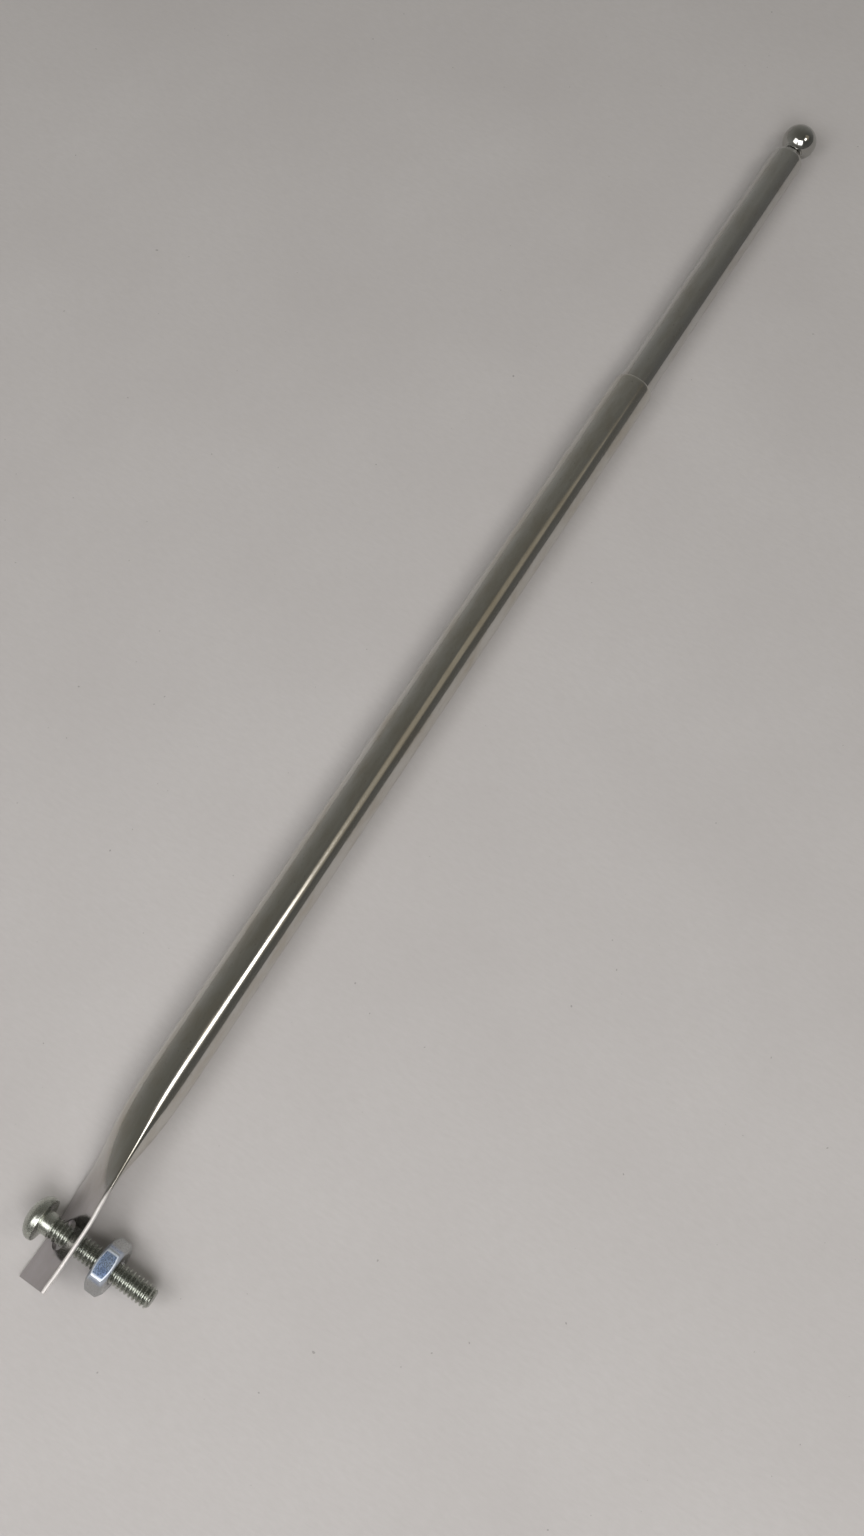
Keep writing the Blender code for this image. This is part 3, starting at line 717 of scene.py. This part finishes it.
def screw(material):
    low, high, head = span("pivot_screw", SCREW)
    head *= HEAD_FIT
    core = THREAD_RADIUS - THREAD_DEPTH
    angles = [2 * math.pi * i / THREAD_STEPS for i in range(THREAD_STEPS)]

    def ring(radius_at, height):
        return [Vector((radius_at(a, height) * math.cos(a), radius_at(a, height) * math.sin(a),
                        height)) for a in angles]

    def shank(angle, height):
        radius = min(thread_radius(angle, height), core * 0.9 + (height - low))
        neck = NECK_RADIUS - max(0.0, -height - PLAIN_NECK)
        return max(radius, neck) if height > -PLAIN_NECK - THREAD_DEPTH else radius

    rings = [[Vector((0, 0, high))]]
    for i in range(1, HEAD_RINGS + 1):
        angle = math.pi / 2 * (1 - i / HEAD_RINGS)
        rings.append(circle(head * math.cos(angle), HEAD_RIM + (high - HEAD_RIM) * math.sin(angle),
                            THREAD_STEPS))
    under = filleted([(head, HEAD_RIM), (head * HEAD_UNDER_SHARE, 0), (NECK_RADIUS, 0),
                      (NECK_RADIUS, SHANK_TOP)], HEAD_FILLET, False)
    rings += [circle(r, z, THREAD_STEPS) for r, z in under[1:-1]]
    count = round((SHANK_TOP - low) / THREAD_PITCH * THREAD_SAMPLES)
    for i in range(count + 1):
        rings.append(ring(shank, SHANK_TOP + (low - SHANK_TOP) * i / count))
    rings.append([Vector((0, 0, low))])
    bm = bmesh.new()
    skin(bm, rings)
    mesh = finish_mesh(bm, "pivot_screw_slotted")
    piece = add_piece("pivot_screw_slotted", mesh, SCREW, "pivot_screw", material)
    cut_slot(piece, head, high)


def cut_slot(piece, head, high):
    bm = bmesh.new()
    bmesh.ops.create_cube(bm, size=1)
    bmesh.ops.scale(bm, vec=(head * 3, SLOT_WIDTH, SLOT_DEPTH * 2), verts=bm.verts)
    bmesh.ops.translate(bm, vec=(0, 0, high), verts=bm.verts)
    mesh = bpy.data.meshes.new("slot_cutter")
    bm.to_mesh(mesh)
    bm.free()
    cutter = bpy.data.objects.new("slot_cutter", mesh)
    bpy.context.scene.collection.objects.link(cutter)
    mesh.transform(SCREW)
    modifier = piece.modifiers.new("slot", "BOOLEAN")
    modifier.operation = "DIFFERENCE"
    modifier.solver = "EXACT"
    modifier.object = cutter
    bpy.context.view_layer.update()
    graph = bpy.context.evaluated_depsgraph_get()
    cut = bpy.data.meshes.new_from_object(piece.evaluated_get(graph))
    piece.modifiers.clear()
    piece.data = cut
    cut.shade_smooth()
    cut.set_sharp_from_angle(angle=SHARP)
    bpy.data.objects.remove(cutter)


def nut(material):
    low, high, _ = span("pivot_nut", SCREW)
    middle, half = (low + high) / 2, (high - low) / 2
    flats = NUT_HALF_FLATS
    face = flats * NUT_FACE_SHARE
    corner_at = flats / math.cos(math.pi / 6)
    back = corner_at - NUT_CORNER / math.cos(math.pi / 6)
    border = []
    for side in range(6):
        centre = math.radians(60 * side + 60)
        spot = Vector((math.cos(centre), math.sin(centre))) * back
        for k in range(NUT_CORNER_STEPS + 1):
            angle = centre + math.radians(-30 + 60 * k / NUT_CORNER_STEPS)
            border.append(spot + Vector((math.cos(angle), math.sin(angle))) * NUT_CORNER)
        following = centre + math.radians(60)
        start = border[-1]
        end = (Vector((math.cos(following), math.sin(following))) * back
               + Vector((math.cos(following - math.pi / 6),
                         math.sin(following - math.pi / 6))) * NUT_CORNER)
        for k in range(1, NUT_SIDE_STEPS):
            border.append(start.lerp(end, k / NUT_SIDE_STEPS))
    slope = math.tan(math.radians(30))

    def corner_height(radius):
        return half - max(0.0, radius - face) * slope

    def wall_rings(side):
        rings = [[p.normalized() * face for p in border]]
        heights = [[half] * len(border)]
        for inward, downward in ((1.0, 0.0), (0.6, 0.1), (0.3, 0.3), (0.1, 0.6), (0.0, 1.0)):
            rings.append([p.normalized() * max(face, p.length - NUT_EDGE * inward)
                          for p in border])
            heights.append([corner_height(p.length - NUT_EDGE * inward) - NUT_EDGE * downward
                            for p in border])
        return [[Vector((p.x, p.y, middle + side * z)) for p, z in zip(ring, row)]
                for ring, row in zip(rings, heights)]

    angles = [math.atan2(p.y, p.x) for p in border]

    def bore(height):
        sink = THREAD_RADIUS + SINK_PLAY + max(0.0, abs(height) - half + SINK_DEPTH)
        wear_and_rim_highlight = max(0.0, abs(height) - half * WORN_FROM)
        ring = []
        for angle in angles:
            radius = max(thread_radius(angle, middle + height) + THREAD_PLAY,
                         min(sink, THREAD_RADIUS + wear_and_rim_highlight * WORN_SLOPE))
            ring.append(Vector((radius * math.cos(angle), radius * math.sin(angle),
                                middle + height)))
        return ring

    count = round(2 * half / THREAD_PITCH * THREAD_SAMPLES)
    rings = [bore(-half + 2 * half * i / count) for i in range(count + 1)]
    rings += wall_rings(1) + list(reversed(wall_rings(-1)))
    bm = bmesh.new()
    skin(bm, rings, closed=True)
    add_piece("pivot_nut_chamfered", finish_mesh(bm, "pivot_nut_chamfered"), SCREW, "pivot_nut",
              material)


# ---- Stage ----

def stage(material):
    low, high = CAD_BOUNDS
    bm = bmesh.new()
    bmesh.ops.create_grid(bm, x_segments=2, y_segments=2, size=2.0)
    mesh = bpy.data.meshes.new("paper_floor")
    bm.to_mesh(mesh)
    bm.free()
    floor = bpy.data.objects.new("paper_floor", mesh)
    bpy.context.scene.collection.objects.link(floor)
    floor.location = ((low.x + high.x) / 2, (low.y + high.y) / 2, low.z)
    mesh.materials.append(material)


def area_light(name, place, target, size, power, colour):
    data = bpy.data.lights.new(name, "AREA")
    data.shape = "RECTANGLE"
    data.size, data.size_y = size
    data.energy = power
    data.color = colour
    light = bpy.data.objects.new(name, data)
    bpy.context.scene.collection.objects.link(light)
    light.location = place
    light.visible_camera = False
    light.rotation_mode = "QUATERNION"
    light.rotation_quaternion = (Vector(target) - Vector(place)).to_track_quat("-Z", "Y")


def surroundings():
    """Dim, slightly olive room: darker overhead than at its walls, and darkest towards -Y."""
    world = bpy.data.worlds.new("room")
    bpy.context.scene.world = world
    world.use_nodes = True
    tree = world.node_tree
    coords = tree.nodes.new("ShaderNodeTexCoord")
    split = tree.nodes.new("ShaderNodeSeparateXYZ")
    tree.links.new(coords.outputs["Generated"], split.inputs[0])

    def ramp(output, low, high, first, second):
        spread = tree.nodes.new("ShaderNodeMapRange")
        spread.inputs["From Min"].default_value = low
        spread.inputs["From Max"].default_value = high
        tree.links.new(output, spread.inputs["Value"])
        colours = tree.nodes.new("ShaderNodeValToRGB")
        colours.color_ramp.elements[0].color = (*first, 1)
        colours.color_ramp.elements[1].color = (*second, 1)
        tree.links.new(spread.outputs["Result"], colours.inputs[0])
        return colours.outputs[0]

    height = ramp(split.outputs[2], 0.0, 1.0, (0.30, 0.295, 0.28), (0.135, 0.132, 0.115))
    side = ramp(split.outputs[1], -0.75, -0.05, (0.45, 0.45, 0.45), (1.0, 1.0, 1.0))
    room = tree.nodes.new("ShaderNodeVectorMath")
    room.operation = "MULTIPLY"
    tree.links.new(height, room.inputs[0])
    tree.links.new(side, room.inputs[1])
    tree.links.new(room.outputs[0], tree.nodes["Background"].inputs["Color"])


def camera():
    data = bpy.data.cameras.new("camera")
    data.lens = LENS
    data.sensor_width = SENSOR
    data.clip_start = 0.005
    view = bpy.data.objects.new("camera", data)
    bpy.context.scene.collection.objects.link(view)
    forward = CAMERA_RIGHT.cross(CAMERA_DOWN)
    turn = Matrix((CAMERA_RIGHT, -CAMERA_DOWN, -forward)).transposed().to_4x4()
    end = ROD.translation
    turn.translation = (end.x + CAMERA_OFFSET.x, end.y + CAMERA_OFFSET.y, CAMERA_HEIGHT)
    view.matrix_world = turn
    bpy.context.scene.camera = view


CHROME = plated("outer_chrome_plate", (0.60, 0.59, 0.56), (0.50, 0.47, 0.41), 0.10,
                fold=EDGE_HIGHLIGHT_WIDTH)
SECTION_CHROME = plated("section_chrome_plate", (0.58, 0.575, 0.56), (0.50, 0.48, 0.44), 0.09)
BALL_CHROME = plated("ball_chrome_plate", (0.46, 0.46, 0.44), (0.40, 0.39, 0.36), 0.06, 4e-7)
ZINC = threaded_zinc("screw_zinc_plate", (0.50, 0.52, 0.47), (0.24, 0.25, 0.22), 0.25)
BLUE = zinc_with_painted_blue("nut_passivate_and_painted_reflection")
BRASS = plated("bush_turned_brass", (0.68, 0.50, 0.22), (0.46, 0.33, 0.15), 0.22)
BRONZE = plated("spring_rolled_bronze", (0.66, 0.42, 0.24), (0.42, 0.25, 0.14), 0.24)
outer_tube(CHROME)
sliding_tubes(SECTION_CHROME)
tip(SECTION_CHROME, BALL_CHROME)
bushes(BRASS, BRONZE)
screw(ZINC)
nut(BLUE)
stage(paper("pale_paper"))
bpy.context.scene.view_settings.view_transform = "Standard"
surroundings()
area_light("strip", (0.082, -0.913, 1.17), (-0.058, 0, 0), (0.386, 0.293), 1.7,
           (1.0, 0.97, 0.92))
area_light("window", (-0.44, 0.20, 0.56), (0.10, 0, 0), (0.42, 0.42), 1.62, (1.0, 0.985, 0.985))
area_light("far_window", (-0.42, -0.28, 0.56), (0.10, -0.08, 0), (0.42, 0.42), 2.75,
           (1.0, 0.985, 0.985))
area_light("glow", (0.48, -0.88, 1.08), (0, 0, 0), (0.7, 0.6), 0.30, (1.0, 0.86, 0.62))
camera()
